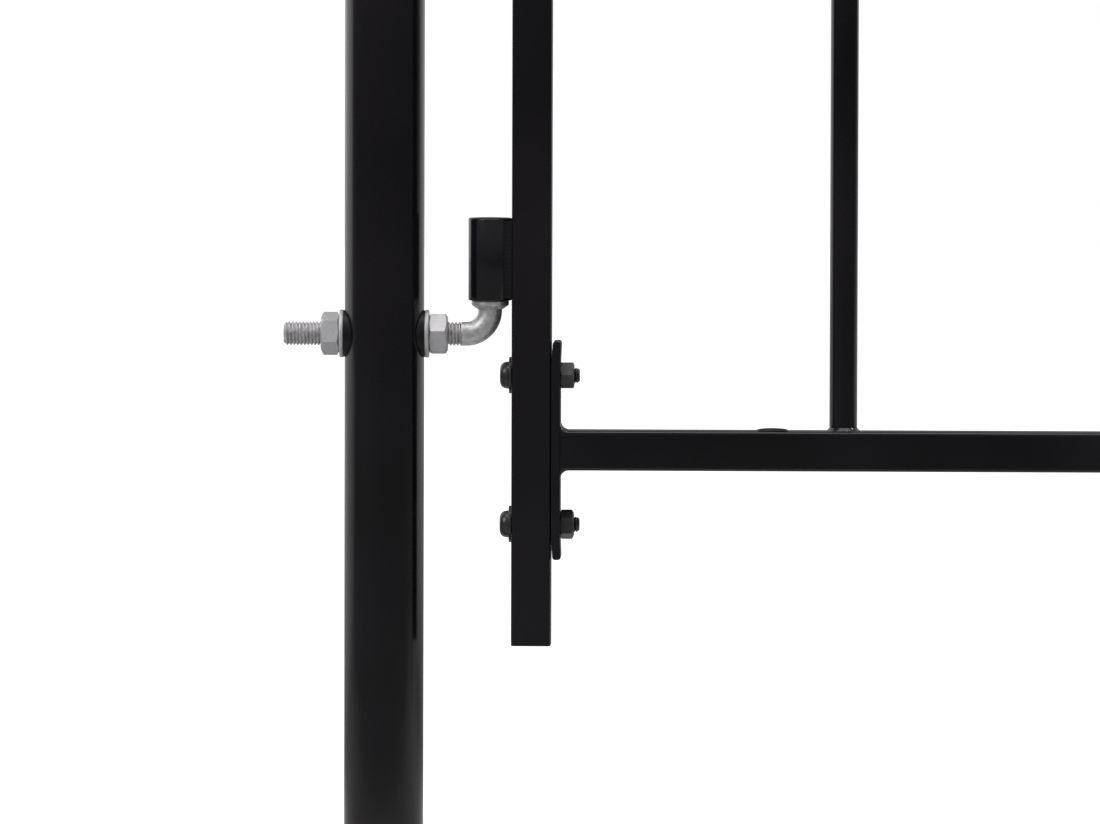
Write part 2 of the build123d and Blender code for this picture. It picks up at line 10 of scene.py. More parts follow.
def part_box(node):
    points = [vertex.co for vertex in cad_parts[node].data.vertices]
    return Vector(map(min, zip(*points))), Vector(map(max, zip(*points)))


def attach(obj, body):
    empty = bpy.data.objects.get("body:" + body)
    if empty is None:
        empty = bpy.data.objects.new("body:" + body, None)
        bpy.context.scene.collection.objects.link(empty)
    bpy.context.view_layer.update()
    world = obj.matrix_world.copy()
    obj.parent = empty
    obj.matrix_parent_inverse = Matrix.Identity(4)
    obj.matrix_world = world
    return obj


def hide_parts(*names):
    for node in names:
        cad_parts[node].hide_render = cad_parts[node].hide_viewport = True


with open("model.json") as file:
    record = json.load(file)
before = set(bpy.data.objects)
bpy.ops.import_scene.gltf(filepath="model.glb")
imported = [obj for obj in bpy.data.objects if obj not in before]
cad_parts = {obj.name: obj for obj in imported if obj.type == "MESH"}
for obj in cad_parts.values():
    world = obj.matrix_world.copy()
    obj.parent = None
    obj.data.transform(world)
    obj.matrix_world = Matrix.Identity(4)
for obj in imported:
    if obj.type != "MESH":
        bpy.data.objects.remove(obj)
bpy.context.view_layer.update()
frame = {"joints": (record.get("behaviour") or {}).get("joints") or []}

# Posts. Two lengths of round steel tube, 40 mm across with a 2 mm wall, powder coated gloss black.
# Each is a rolled shell with its wall turned inwards and its sawn ends just broken.
post_radius = 0.020
post_wall = 0.002
post_edge = 0.0003
post_sides = 160


class Signal:
    """A shader socket that takes part in Python arithmetic."""

    def __init__(self, tree, socket):
        self.tree = tree
        self.socket = socket

    def node(self, kind, settings, sockets, output=0):
        """Add a node: its type, its settings, then the values or links of its sockets."""
        made = self.tree.nodes.new("ShaderNode" + kind)
        for name, value in settings.items():
            setattr(made, name, value)
        for name, value in sockets.items():
            if isinstance(value, Signal):
                self.tree.links.new(value.socket, made.inputs[name])
            else:
                made.inputs[name].default_value = value
        return Signal(self.tree, made.outputs[output])

    def feed(self, shader, name):
        """Join this socket to one of a shader's own."""
        self.tree.links.new(self.socket, shader.inputs[name])

    def __add__(self, other):
        return self.node("Math", {"operation": "ADD"}, {0: self, 1: other})

    def __sub__(self, other):
        return self.node("Math", {"operation": "SUBTRACT"}, {0: self, 1: other})

    def __rsub__(self, other):
        return self.node("Math", {"operation": "SUBTRACT"}, {0: other, 1: self})

    def __mul__(self, other):
        return self.node("Math", {"operation": "MULTIPLY"}, {0: self, 1: other})

    def __abs__(self):
        return self.node("Math", {"operation": "ABSOLUTE"}, {0: self})

    __radd__ = __add__
    __rmul__ = __mul__


def begin_finish(name):
    """A new material, its surface shader and the place on the piece that its patterns read."""
    finish = bpy.data.materials.new(name)
    finish.use_nodes = True
    tree = finish.node_tree
    place = tree.nodes.new("ShaderNodeTexCoord").outputs["Object"]
    return finish, tree.nodes["Principled BSDF"], Signal(tree, place)


def noise(place, scale, detail, roughness=0.5):
    """A cloudy pattern over a piece."""
    sockets = {"Vector": place, "Scale": scale, "Detail": detail, "Roughness": roughness}
    return place.node("TexNoise", {}, sockets)


def ramp(value, start, end, low=0.0, high=1.0, kind="LINEAR"):
    """Carry a value from one range over to another, and hold it beyond the ends."""
    sockets = {"Value": value, "From Min": start, "From Max": end, "To Min": low, "To Max": high}
    return value.node("MapRange", {"interpolation_type": kind}, sockets)


def blend(share, first, second):
    """From a first colour to a second by a share."""
    return share.node("Mix", {"data_type": "RGBA"}, {0: share, 6: first, 7: second}, output=2)


def relief(height, strength, depth, **below):
    """A surface raised by a pattern, over the relief below it where there is one."""
    sockets = {"Strength": strength, "Distance": depth, "Height": height}
    return height.node("Bump", {}, sockets | below)


def begin_coat(name, peel_depth, peel_scale):
    """Black powder coat: a glossy skin with a faint orange peel over slightly wavy steel."""
    coat, surface, place = begin_finish(name)
    surface.inputs["Specular IOR Level"].default_value = 0.36
    cloud = noise(place, 8.0, 2.0)
    haze = ramp(cloud, 0.32, 0.68)
    peel = noise(place, peel_scale, 1.0)
    wave = noise(place, 9.0, 0.0)
    dust = ramp(noise(place, 1400.0, 0.0), 0.74, 0.84)
    black = blend(haze, (0.0026, 0.0017, 0.0030, 1), (0.0108, 0.0090, 0.0116, 1))
    blend(0.4 * dust, black, (0.020, 0.020, 0.022, 1)).feed(surface, "Base Color")
    (0.09 + 0.10 * cloud + 0.08 * dust).feed(surface, "Roughness")
    steel = relief(wave, 1.0, 0.0014)
    relief(peel, 0.5, peel_depth, Normal=steel).feed(surface, "Normal")
    return coat


powder_coat = begin_coat("gloss_black_powder_coat", 0.000009, 300.0)


def settle(name):
    """Name the shape just added and put its place into its mesh."""
    piece = bpy.context.object
    piece.name = name
    piece.data.name = name
    bpy.ops.object.transform_apply(location=True, rotation=True, scale=True)
    return piece


def add(kind, name, **settings):
    """Add one of Blender's plain shapes to work from."""
    bpy.ops.object.select_all(action="DESELECT")
    getattr(bpy.ops.mesh, f"primitive_{kind}_add")(**settings)
    return settle(name)


def work_on(piece):
    """Select this piece and nothing else."""
    bpy.ops.object.select_all(action="DESELECT")
    piece.select_set(True)
    bpy.context.view_layer.objects.active = piece


def modify(piece, kind, **settings):
    """Give a piece a modifier with these settings, and apply it."""
    work_on(piece)
    modifier = piece.modifiers.new(kind, kind)
    for name, value in settings.items():
        setattr(modifier, name, value)
    bpy.ops.object.modifier_apply(modifier=modifier.name)


def smooth(piece, angle):
    """Shade a piece round over its edges of less than so many degrees."""
    work_on(piece)
    bpy.ops.object.shade_smooth_by_angle(angle=math.radians(angle))


def soften(piece, width, segments=2, angle=40):
    """Break a piece's sharp edges, and shade its flats flat and its rounds round."""
    limit = math.radians(angle)
    modify(piece, "BEVEL", width=width, segments=segments, limit_method="ANGLE", angle_limit=limit)
    smooth(piece, angle)
    modify(piece, "WEIGHTED_NORMAL", keep_sharp=True)


def round_tube(node, radius, wall, sides, edge):
    """A length of round tube where its CAD node is."""
    low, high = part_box(node)
    tube = add(
        "cylinder",
        node + "_tube",
        vertices=sides,
        radius=radius,
        depth=high.z - low.z,
        end_fill_type="NOTHING",
        location=(low + high) / 2,
    )
    modify(tube, "SOLIDIFY", thickness=wall, offset=-1)
    soften(tube, edge)
    return tube


def fit(piece, finish, slot, body, *nodes):
    """Dress a piece, and let it stand for its CAD nodes on the body that carries them."""
    piece.data.materials.clear()
    piece.data.materials.append(finish)
    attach(piece, body)
    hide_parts(*nodes)


for node in ("hinge_post", "latch_post"):
    post = round_tube(node, post_radius, post_wall, post_sides, post_edge)
    fit(post, powder_coat, "black_coat", "posts", node)

# Base plates. Square feet of 6 mm steel plate, each with four anchor holes and rounded corners,
# coated with the posts. The second is a copy of the first.
base_corner = 0.008
base_edge = 0.0006
base_hole_radius = 0.0055
base_hole_reach = 0.035
drill_through = 0.05
sliver = 0.000004


def pick(kind, test):
    """In edit mode, select only the points, edges or faces that pass the test."""
    bpy.ops.mesh.select_mode(type=kind)
    bpy.ops.mesh.select_all(action="DESELECT")
    shape = bmesh.from_edit_mesh(bpy.context.object.data)
    for item in {"VERT": shape.verts, "EDGE": shape.edges, "FACE": shape.faces}[kind]:
        item.select_set(bool(test(item)))
    shape.select_flush_mode()
    bmesh.update_edit_mesh(bpy.context.object.data)


def runs_along(axis):
    """A test for edges that lie along one axis, 0 for X, 1 for Y and 2 for Z."""
    return lambda edge: abs((edge.verts[1].co - edge.verts[0].co).normalized()[axis]) > 0.99


def block(name, low, high, round_axis, corner, segments=6):
    """A bar between two corners, its four edges along one axis rounded."""
    piece = add("cube", name, size=1, location=(low + high) / 2, scale=high - low)
    bpy.ops.object.mode_set(mode="EDIT")
    pick("EDGE", runs_along(round_axis))
    bpy.ops.mesh.bevel(offset=corner, segments=segments, affect="EDGES")
    bpy.ops.object.mode_set(mode="OBJECT")
    return piece


def discard(*shapes):
    """Take away shapes that were only tools or patterns."""
    for shape in shapes:
        bpy.data.objects.remove(shape, do_unlink=True)


def open_up():
    """Go into edit mode with the whole of the active piece selected."""
    bpy.ops.object.mode_set(mode="EDIT")
    bpy.ops.mesh.select_all(action="SELECT")


def close_slivers():
    """Merge the points of the active piece that lie too close to make a face."""
    open_up()
    bpy.ops.mesh.remove_doubles(threshold=sliver)
    bpy.ops.mesh.dissolve_degenerate(threshold=sliver)
    bpy.ops.object.mode_set(mode="OBJECT")


def cut_away(piece, tool, operation="DIFFERENCE"):
    """Cut a piece with a tool shape, which is used up."""
    modify(piece, "BOOLEAN", object=tool, operation=operation, solver="EXACT")
    discard(tool)
    close_slivers()


def drill(radius, length, middle, sides=64):
    """An upright round cutter of this length about a point."""
    return add("cylinder", "drill", vertices=sides, radius=radius, depth=length, location=middle)


def copy_of(piece, name, place):
    """A copy with a mesh of its own, moved by a matrix."""
    work_on(piece)
    bpy.ops.object.duplicate(linked=False)
    bpy.context.object.matrix_world = place
    return settle(name)


low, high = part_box("hinge_post_base")
foot = (low + high) / 2
hinge_base = block("hinge_post_foot", low, high, 2, base_corner)
for across in (-base_hole_reach, base_hole_reach):
    for back in (-base_hole_reach, base_hole_reach):
        hole = drill(base_hole_radius, drill_through, foot + Vector((across, back, 0)))
        cut_away(hinge_base, hole)
soften(hinge_base, base_edge)
post_gap = sum(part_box("latch_post_base"), Vector()) / 2 - foot
latch_base = copy_of(hinge_base, "latch_post_foot", Matrix.Translation(post_gap))
fit(hinge_base, powder_coat, "black_coat", "posts", "hinge_post_base")
fit(latch_base, powder_coat, "black_coat", "posts", "latch_post_base")

# Base welds. A fillet run round the foot of each post, with the rounded ripples that the welder's
# torch leaves, under the same coat.
base_weld_leg = 0.005
base_weld_ripples = 44
ring_weld_hollow = 0.25
ring_weld_toe = 0.1
ripple_share = 0.016


def draw_rings(rings, middle=(0, 0, 0)):
    """Draw the selected ring up through rings of a radius and a height each."""
    for (radius, height), (next_radius, next_height) in zip(rings, rings[1:]):
        rise = (0, 0, next_height - height)
        grow = next_radius / radius
        bpy.ops.mesh.extrude_region_move(TRANSFORM_OT_translate={"value": rise})
        bpy.ops.transform.resize(value=(grow, grow, 1), center_override=middle)


def close_up():
    """Merge doubled points, turn the faces outwards and leave edit mode."""
    bpy.ops.mesh.select_all(action="SELECT")
    bpy.ops.mesh.remove_doubles(threshold=1e-6)
    bpy.ops.mesh.normals_make_consistent(inside=False)
    bpy.ops.object.mode_set(mode="OBJECT")


def turned(name, rings, segments=96, hollow=False):
    """A form turned about Z: a circle drawn through rings of a radius and a height each."""
    radius, height = rings[0]
    piece = add("circle", name, vertices=segments, radius=radius, location=(0, 0, height))
    open_up()
    if not hollow:
        bpy.ops.mesh.edge_face_add()
    draw_rings(rings)
    close_up()
    return piece


def ring_weld(name, radius, leg, ripples):
    """A fillet weld round an upright tube that stands on Z 0, its face hollow and rippled."""
    face = [(leg * (1 - math.sin(t)), leg * (1 - math.cos(t))) for t in (0.05, 0.4, 0.8, 1.2, 1.52)]
    rings = [(radius, 0), (radius + leg, 0)]
    for out, up in face:
        rings.append((radius + ring_weld_hollow * out + (1 - ring_weld_hollow) * (leg - up), up))
    rings += [(radius, leg), (radius, 0)]
    weld = turned(name, rings, segments=8 * ripples, hollow=True)
    toe = ring_weld_toe * leg
    for point in weld.data.vertices:
        out = math.hypot(point.co.x, point.co.y) - radius
        if out > toe and point.co.z > toe:
            turn = ripples * math.atan2(point.co.y, point.co.x) + 2 * point.co.z / leg
            outward = Vector((point.co.x, point.co.y, radius)).normalized()
            point.co += outward * ripple_share * leg * math.sin(turn)
    smooth(weld, 50)
    modify(weld, "WEIGHTED_NORMAL", keep_sharp=True)
    return weld


foot_weld = ring_weld("foot_weld", post_radius, base_weld_leg, base_weld_ripples)
base_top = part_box("post_base_welds")[0].z
for name, x in (("hinge_post_foot_weld", 0.0), ("latch_post_foot_weld", post_gap.x)):
    weld = copy_of(foot_weld, name, Matrix.Translation((x, 0, base_top)))
    fit(weld, powder_coat, "black_coat", "posts", "post_base_welds")
discard(foot_weld)

# Post caps. Domed push-in caps of black moulded plastic, satin, with a fine spark grain.
# Each is turned in one with the plug that holds it in its post.
cap_rim = 0.003
cap_shoulder = 0.0027
cap_dome = 0.006
cap_edge = 0.0004
cap_plug_radius = 0.01785
cap_plug_depth = 0.012


def begin_plastic(name, grain_depth, grain_scale):
    """Black moulded plastic: satin, with a spark-eroded grain and rubbed patches."""
    plastic, surface, place = begin_finish(name)
    surface.inputs["Specular IOR Level"].default_value = 0.26
    grain = noise(place, grain_scale, 3.0)
    rub = noise(place, 90.0, 2.0)
    black = blend(rub, (0.0035, 0.0033, 0.0037, 1), (0.0085, 0.0082, 0.0090, 1))
    black.feed(surface, "Base Color")
    (0.34 + 0.18 * rub).feed(surface, "Roughness")
    relief(grain, 0.4, grain_depth).feed(surface, "Normal")
    return plastic


def dome_rings(radius, foot, rise, angles):
    """Rings over a low dome, each at so many degrees from its top."""
    turns = [math.radians(angle) for angle in angles]
    return [(radius * math.sin(t), foot + rise * math.cos(t)) for t in turns]


plastic = begin_plastic("black_moulded_plastic", 0.00006, 1500.0)

cap_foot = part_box("hinge_post_cap")[1].z - cap_dome - cap_rim
cap_rings = [(cap_plug_radius, -cap_plug_depth), (cap_plug_radius, 0), (post_radius, 0)]
cap_rings += [(post_radius, cap_shoulder)]
cap_rings += dome_rings(post_radius, cap_rim, cap_dome, (82, 72, 60, 48, 36, 24, 12, 1))
hinge_cap = turned("cap", cap_rings)
corner_limit = math.radians(50)
modify(hinge_cap, "BEVEL", width=cap_edge, segments=2, limit_method="ANGLE", angle_limit=corner_limit)
smooth(hinge_cap, 45)
for node, shift in (("hinge_post_cap", 0.0), ("latch_post_cap", post_gap.x)):
    cap = copy_of(hinge_cap, node + "_dome", Matrix.Translation((shift, 0, cap_foot)))
    fit(cap, plastic, "black_plastic", "posts", node)
discard(hinge_cap)

# Hinge bolts. A 12 mm rod, hot-dip galvanised: rolled thread through the post, a forged right-angle
# bend, a swaged collar for the barrel to stand on and a plain pin. The upper one is turned over.
bolt_radius = 0.006
bolt_sides = 64
bolt_pitch = 0.00175
bolt_bend = 0.012
bolt_bend_steps = 20
bolt_chamfer = 0.0014
bolt_edge = 0.0002
bolt_thread_end = 0.0400
bolt_thread_overlap = 0.0012
collar_rings = [
    (0.0060, 0.0124),
    (0.0064, 0.0126),
    (0.0088, 0.0142),
    (0.0093, 0.0147),
    (0.0094, 0.0151),
    (0.0094, 0.0163),
    (0.0092, 0.0168),
    (0.0060, 0.0168),
]

galvanised, surface, place = begin_finish("hot_dip_galvanised_steel")
drift = noise(place, 140.0, 4.0, roughness=0.6)
spangle = place.node("TexVoronoi", {}, {"Vector": place, "Scale": 620.0, "Randomness": 1.0}, output=1)
flake = spangle.node("SeparateColor", {}, {"Color": spangle})
pit = noise(place, 1900.0, 2.0)
bloom = 0.55 * drift + 0.45 * flake
zinc = blend(bloom, (0.40, 0.392, 0.40, 1), (0.78, 0.77, 0.78, 1))
zinc.feed(surface, "Base Color")
(0.66 + 0.25 * drift).feed(surface, "Metallic")
(0.38 + 0.20 * bloom).feed(surface, "Roughness")
relief(0.7 * drift + 0.3 * pit, 0.35, 0.00012).feed(surface, "Normal")


def seat(origin, way, turn=0):
    """The place of a fastener along X: its Z runs the way given, its X points up."""
    axes = Matrix(((0, 0, way), (0, -way, 0), (1, 0, 0))).to_4x4()
    return Matrix.Translation(origin) @ axes @ Matrix.Rotation(math.radians(turn), 4, "Z")


def thread(name, radius, pitch, length, chamfer):
    """A rolled thread about Z from 0 to a length, its first turn chamfered."""
    root = radius - 0.58 * pitch
    crest_low, crest_high = 0.42, 0.58
    steps = 40
    rod = add("plane", name, size=1)
    bpy.ops.object.mode_set(mode="EDIT")
    bpy.ops.mesh.delete(type="ONLY_FACE")
    pick("EDGE", lambda edge: edge.verts[0].co.x + edge.verts[1].co.x < -0.9)
    bpy.ops.mesh.delete(type="EDGE")
    bpy.ops.object.mode_set(mode="OBJECT")
    for point in rod.data.vertices:
        crest = point.co.x > 0
        upper = point.co.y > 0
        rise = (crest_high if upper else crest_low) if crest else (1 if upper else 0)
        point.co = (radius if crest else root, 0, (rise - 2) * pitch)
    modify(
        rod,
        "SCREW",
        axis="Z",
        angle=math.tau,
        screw_offset=pitch,
        iterations=math.ceil(length / pitch) + 4,
        steps=steps,
        render_steps=steps,
        use_merge_vertices=False,
    )
    open_up()
    bpy.ops.mesh.remove_doubles(threshold=2e-6)
    bpy.ops.mesh.fill_holes(sides=0)
    close_up()
    wide = 1.06 * radius
    outline = [(radius - chamfer, 0), (wide, 1.3 * chamfer), (wide, length)]
    cut_away(rod, turned("blank", outline, segments=72), "INTERSECT")
    smooth(rod, 25)
    return rod


def join(name, piece, other):
    """Make one piece of two."""
    work_on(piece)
    other.select_set(True)
    bpy.ops.object.join()
    return settle(name)


def fit_both_hinges(lower, finish, slot, body, node):
    """Fit a piece of the lower hinge, and a copy turned over for the upper one."""
    upper = copy_of(lower, lower.name.replace("lower", "upper"), turned_over)
    fit(lower, finish, slot, body, "lower_" + node)
    fit(upper, finish, slot, body, "upper_" + node)


low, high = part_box("lower_hinge_bolt")
lower_height = low.z + bolt_radius
upper_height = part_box("upper_hinge_bolt")[1].z - bolt_radius
turned_over = Matrix.Translation((0, 0, upper_height)) @ Matrix.Rotation(math.pi, 4, "X")
turned_over = turned_over @ Matrix.Translation((0, 0, -lower_height))
pin_rise = high.z - lower_height
hinge_x = frame["joints"][0]["pos_m"][0]
shank_start = bolt_thread_end - bolt_thread_overlap
bend_start = hinge_x - bolt_bend
shank = add(
    "circle",
    "shank",
    vertices=bolt_sides,
    radius=bolt_radius,
    fill_type="NGON",
    location=(shank_start, 0, lower_height),
    rotation=(0, math.pi / 2, 0),
)
open_up()
bpy.ops.mesh.extrude_region_move(TRANSFORM_OT_translate={"value": (bend_start - shank_start, 0, 0)})
bpy.ops.mesh.spin(
    steps=bolt_bend_steps,
    angle=math.pi / 2,
    center=(bend_start, 0, lower_height + bolt_bend),
    axis=(0, 1, 0),
)
pin_rings = [(bolt_radius, pin_rise - bolt_chamfer), (bolt_radius - bolt_chamfer, pin_rise)]
draw_rings([(bolt_radius, bolt_bend)] + collar_rings + pin_rings, (hinge_x, 0, lower_height))
close_up()
soften(shank, bolt_edge, angle=35)
rolled = thread("rolled_thread", bolt_radius, bolt_pitch, bolt_thread_end - low.x, bolt_chamfer)
rolled.matrix_world = seat((low.x, 0, lower_height), 1)
bolt = join("lower_bent_bolt", shank, rolled)
fit_both_hinges(bolt, galvanised, "galvanised_steel", "posts", "hinge_bolt")

# Hinge nuts and washers. Zinc-plated hexagon nuts, 19 mm across flats and chamfered on both faces,
# with plain 24 mm washers, two of each clamping a hinge bolt to its post.
hinge_nut_flats = 0.019
hinge_nut_height = 0.0094
hinge_nut_bite = 0.0004
hinge_nut_heel = 0.89
hinge_nut_turns = {"lower": (9, 21), "upper": (22, 11)}
hinge_washer_radius = 0.012
hinge_washer_bore = 0.0065
hinge_washer_thickness = 0.002
hinge_washer_edge = 0.0004

zinc_plate, surface, place = begin_finish("zinc_plated_steel")
mottle = noise(place, 900.0, 3.0)
grit = noise(place, 2300.0, 2.0)
dull = 0.75 * mottle + 0.25 * grit
plated = blend(dull, (0.46, 0.45, 0.465, 1), (0.74, 0.73, 0.745, 1))
plated.feed(surface, "Base Color")
(0.40 + 0.24 * mottle).feed(surface, "Metallic")
(0.42 + 0.20 * dull).feed(surface, "Roughness")
relief(dull, 0.3, 0.00008).feed(surface, "Normal")


def hex_nut(name, flats, height, bore, heel_share):
    """A hexagon nut standing on Z 0, a corner towards X, its corners turned round at both faces."""
    corner = flats / math.sqrt(3)
    spare = 0.002
    nut = add(
        "cylinder",
        name,
        vertices=6,
        radius=corner,
        depth=height + spare,
        location=(0, 0, (height + spare) / 2),
        rotation=(0, 0, math.pi / 6),
    )
    brow = 0.88 * flats / 2
    heel = heel_share * flats / 2
    wide = 1.2 * corner
    heel_rise = 0.5 * (wide - heel)
    brow_fall = 0.55 * (wide - brow)
    segments = 96
    outline = [(heel, 0), (wide, heel_rise), (wide, height - brow_fall), (brow, height)]
    cone = turned("cone", outline, segments)
    cone.rotation_euler.z = math.pi / segments
    cut_away(nut, cone, "INTERSECT")
    cut_away(nut, drill(bore, drill_through, (0, 0, 0)))
    edge = 0.013 * flats
    edge_limit = math.radians(25)
    modify(nut, "BEVEL", width=edge, segments=1, limit_method="ANGLE", angle_limit=edge_limit)
    close_slivers()
    bpy.ops.object.shade_flat()
    return nut


def turned_ring(name, outer, bore, length, edge, segments=96):
    """A bored ring standing on Z 0, the rims of its outer face rounded."""
    inset = 0.3 * edge
    rim = [(outer - edge, 0), (outer - inset, inset), (outer, edge)]
    far_rim = [(radius, length - height) for radius, height in reversed(rim)]
    rings = [(bore, 0)] + rim + far_rim + [(bore, length), (bore, 0)]
    ring = turned(name, rings, segments, hollow=True)
    smooth(ring, 50)
    return ring


hinge_nut_bore = bolt_radius - hinge_nut_bite
hinge_nut = hex_nut("hinge_nut", hinge_nut_flats, hinge_nut_height, hinge_nut_bore, hinge_nut_heel)
hinge_washer = turned_ring(
    "hinge_washer", hinge_washer_radius, hinge_washer_bore, hinge_washer_thickness, hinge_washer_edge
)
for place_name, height in (("lower", lower_height), ("upper", upper_height)):
    low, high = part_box(place_name + "_hinge_washers")
    for side, outer_x, turn in zip((-1, 1), (low.x, high.x), hinge_nut_turns[place_name]):
        side_name = f"{place_name}_hinge_{'outer' if side < 0 else 'inner'}"
        nut = copy_of(hinge_nut, side_name + "_nut", seat((outer_x, 0, height), side, turn))
        fit(nut, zinc_plate, "galvanised_steel", "posts", place_name + "_hinge_nuts")
        ring = copy_of(hinge_washer, side_name + "_washer", seat((outer_x, 0, height), -side))
        fit(ring, zinc_plate, "galvanised_steel", "posts", place_name + "_hinge_washers")
discard(hinge_nut, hinge_washer)

# Saddle washers. Moulded black plastic, hollowed to the post on one face and flat on the other, so
# that the steel washers bear square on the round tube.
saddle_radius = 0.0117
saddle_bore = 0.0065
saddle_depth = 0.010
saddle_edge = 0.0003
cope_gap = 0.00002


def cope_to_post(piece, post_x, height):
    """Hollow a piece to the round of a post that passes it at this height."""
    cut_away(piece, drill(post_radius + cope_gap, drill_through, (post_x, 0, height), post_sides))


saddle_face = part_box("lower_hinge_saddles")[1].x
rings = [(saddle_bore, 0), (saddle_radius, 0), (saddle_radius, saddle_depth), (saddle_bore, saddle_depth)]
saddle = turned("saddle", rings + rings[:1], hollow=True)
saddle.matrix_world = seat((saddle_face, 0, lower_height), -1)
settle("saddle")
cope_to_post(saddle, 0, lower_height)
soften(saddle, saddle_edge)
outer_saddle = copy_of(saddle, "lower_hinge_outer_saddle", Matrix.Rotation(math.pi, 4, "Z"))
inner_saddle = copy_of(saddle, "lower_hinge_inner_saddle", Matrix.Identity(4))
for piece in (outer_saddle, inner_saddle):
    fit_both_hinges(piece, plastic, "black_plastic", "posts", "hinge_saddles")
discard(saddle)

# Hinge barrels. Short 22 mm tubes bored for the pin, their rims rounded, coated with the leaf. Each
# stands on a hinge bolt's collar.
barrel_radius = 0.011
barrel_bore = 0.0061
barrel_edge = 0.0007

low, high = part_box("lower_hinge_barrel")
barrel = turned_ring("barrel", barrel_radius, barrel_bore, high.z - low.z, barrel_edge, segments=128)
barrel.matrix_world = Matrix.Translation((hinge_x, 0, low.z))
settle("lower_barrel")
fit_both_hinges(barrel, powder_coat, "black_coat", "leaf", "hinge_barrel")

# Barrel welds. Two beads to a barrel, before and behind, run down the groove beside the stile and
# left rippled under the coat.
barrel_weld_pitch = 0.0022
barrel_weld_ripple = 0.00003
barrel_weld_root = 0.003
barrel_weld_toe = 0.0086
barrel_weld_face = [(0.0082, 0.0083), (0.0093, 0.0082), (0.0102, 0.0083)]


def bead(name, section, outer, length, pitch, depth):
    """A weld bead up Z: its section drawn up in short steps, its outer points rising and falling."""
    steps = round(6 * length / pitch)
    middle = 0.6
    weld = add("circle", name, vertices=len(section), radius=1, fill_type="NGON")
    for point, (x, y) in zip(weld.data.vertices, section):
        point.co = (x, y, 0)
    open_up()
    for step in range(steps):
        bpy.ops.mesh.extrude_region_move(TRANSFORM_OT_translate={"value": (0, 0, length / steps)})
    close_up()
    for point in weld.data.vertices:
        wave = abs(math.sin(math.pi * point.co.z / pitch)) - middle
        point.co += outer(point.co) * depth * wave
    smooth(weld, 60)
    return weld


low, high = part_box("lower_barrel_welds")
stile_gap = high.x - hinge_x
turns = [math.radians(angle) for angle in (16, 28, 39, 50)]
groove = [(barrel_radius * math.cos(t), barrel_radius * math.sin(t)) for t in turns]
groove += barrel_weld_face + [(stile_gap, barrel_weld_toe), (stile_gap, barrel_weld_root)]


def away_from_groove(point):
    """How a barrel weld's free face swells: straight out of the groove."""
    gaps = [math.hypot(point.x - x, point.y - y) for x, y in barrel_weld_face]
    return Vector((0, 1 if min(gaps) < sliver else 0, 0))


groove_weld = bead(
    "groove_weld", groove, away_from_groove, high.z - low.z, barrel_weld_pitch, barrel_weld_ripple
)
for turn, foot_z, side in ((0, low.z, "back"), (math.pi, high.z, "front")):
    spot = Matrix.Translation((hinge_x, 0, foot_z)) @ Matrix.Rotation(turn, 4, "X")
    weld = copy_of(groove_weld, f"lower_barrel_{side}_weld", spot)
    fit_both_hinges(weld, powder_coat, "black_coat", "leaf", "barrel_welds")
discard(groove_weld)

# Stiles. The leaf's uprights, 20 mm square steel tube with a 1.5 mm wall and rolled corners, gloss
# black. The latch stile is pierced for the slide bolt.
tube_side = 0.020
tube_wall = 0.0015
tube_corner = 0.0018
tube_edge = 0.0002
slide_gap = Vector((0, 0.00025, 0.00025))
slide_corner = 0.0006
reach = Vector((0.05, 0, 0))


def square_tube(node, along):
    """A length of the leaf's square tube where its CAD node is."""
    tube = block(node + "_tube", *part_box(node), along, tube_corner)
    bpy.ops.object.mode_set(mode="EDIT")
    pick("FACE", lambda face: abs(face.normal[along]) > 0.9)
    bpy.ops.mesh.delete(type="ONLY_FACE")
    bpy.ops.object.mode_set(mode="OBJECT")
    modify(tube, "SOLIDIFY", thickness=tube_wall, offset=-1)
    return tube


def square_way(low, high):
    """A cutter for a square way along X, longer than the piece that it goes through."""
    return block("way", low - reach, high + reach, 0, slide_corner, 2)


bar_low, bar_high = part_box("bolt_bar")
for node in ("hinge_stile", "latch_stile"):
    stile = square_tube(node, 2)
    if node == "latch_stile":
        cut_away(stile, square_way(bar_low - slide_gap, bar_high + slide_gap))
    soften(stile, tube_edge, angle=50)
    fit(stile, powder_coat, "black_coat", "leaf", node)

# Stile plugs. Push-in plastic plugs that close the stiles' ends, with a thin flange that follows the
# tube's rounded square.
plug_flange = 0.0016
plug_edge = 0.0005

for stile in ("hinge_stile", "latch_stile"):
    low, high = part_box(stile + "_plugs")
    for end, floor_z, top_z in (
        ("bottom", low.z, low.z + plug_flange),
        ("top", high.z - plug_flange, high.z),
    ):
        corner_low, corner_high = Vector((low.x, low.y, floor_z)), Vector((high.x, high.y, top_z))
        plug = block(f"{stile}_{end}_plug", corner_low, corner_high, 2, tube_corner)
        soften(plug, plug_edge, segments=3)
        fit(plug, plastic, "black_plastic", "leaf", stile + "_plugs")

# Rails. Two lengths of the same square tube across the leaf, steel under the same gloss coat.
# Each is welded between its end plates.
for node in ("bottom_rail", "top_rail"):
    rail = square_tube(node, 0)
    soften(rail, tube_edge, angle=50)
    fit(rail, powder_coat, "black_coat", "leaf", node)

# End plates. Flat bars welded across the rails' ends and screwed to the stiles. The heat of the
# welds has drawn their ends a little off the stile, and the ends are rounded over.
plate_thickness = 0.0046
plate_lip = 0.0115
plate_lift = 0.0008
plate_lean = 0.0004
plate_round = 0.0014
plate_edge = 0.0005
plate_cuts = (1.0, 0.8, 0.6, 0.4)
plate_curve = ((0.8, 0.16), (0.6, 0.38), (0.4, 0.62), (0.0, 1.0))
hair = 0.00001

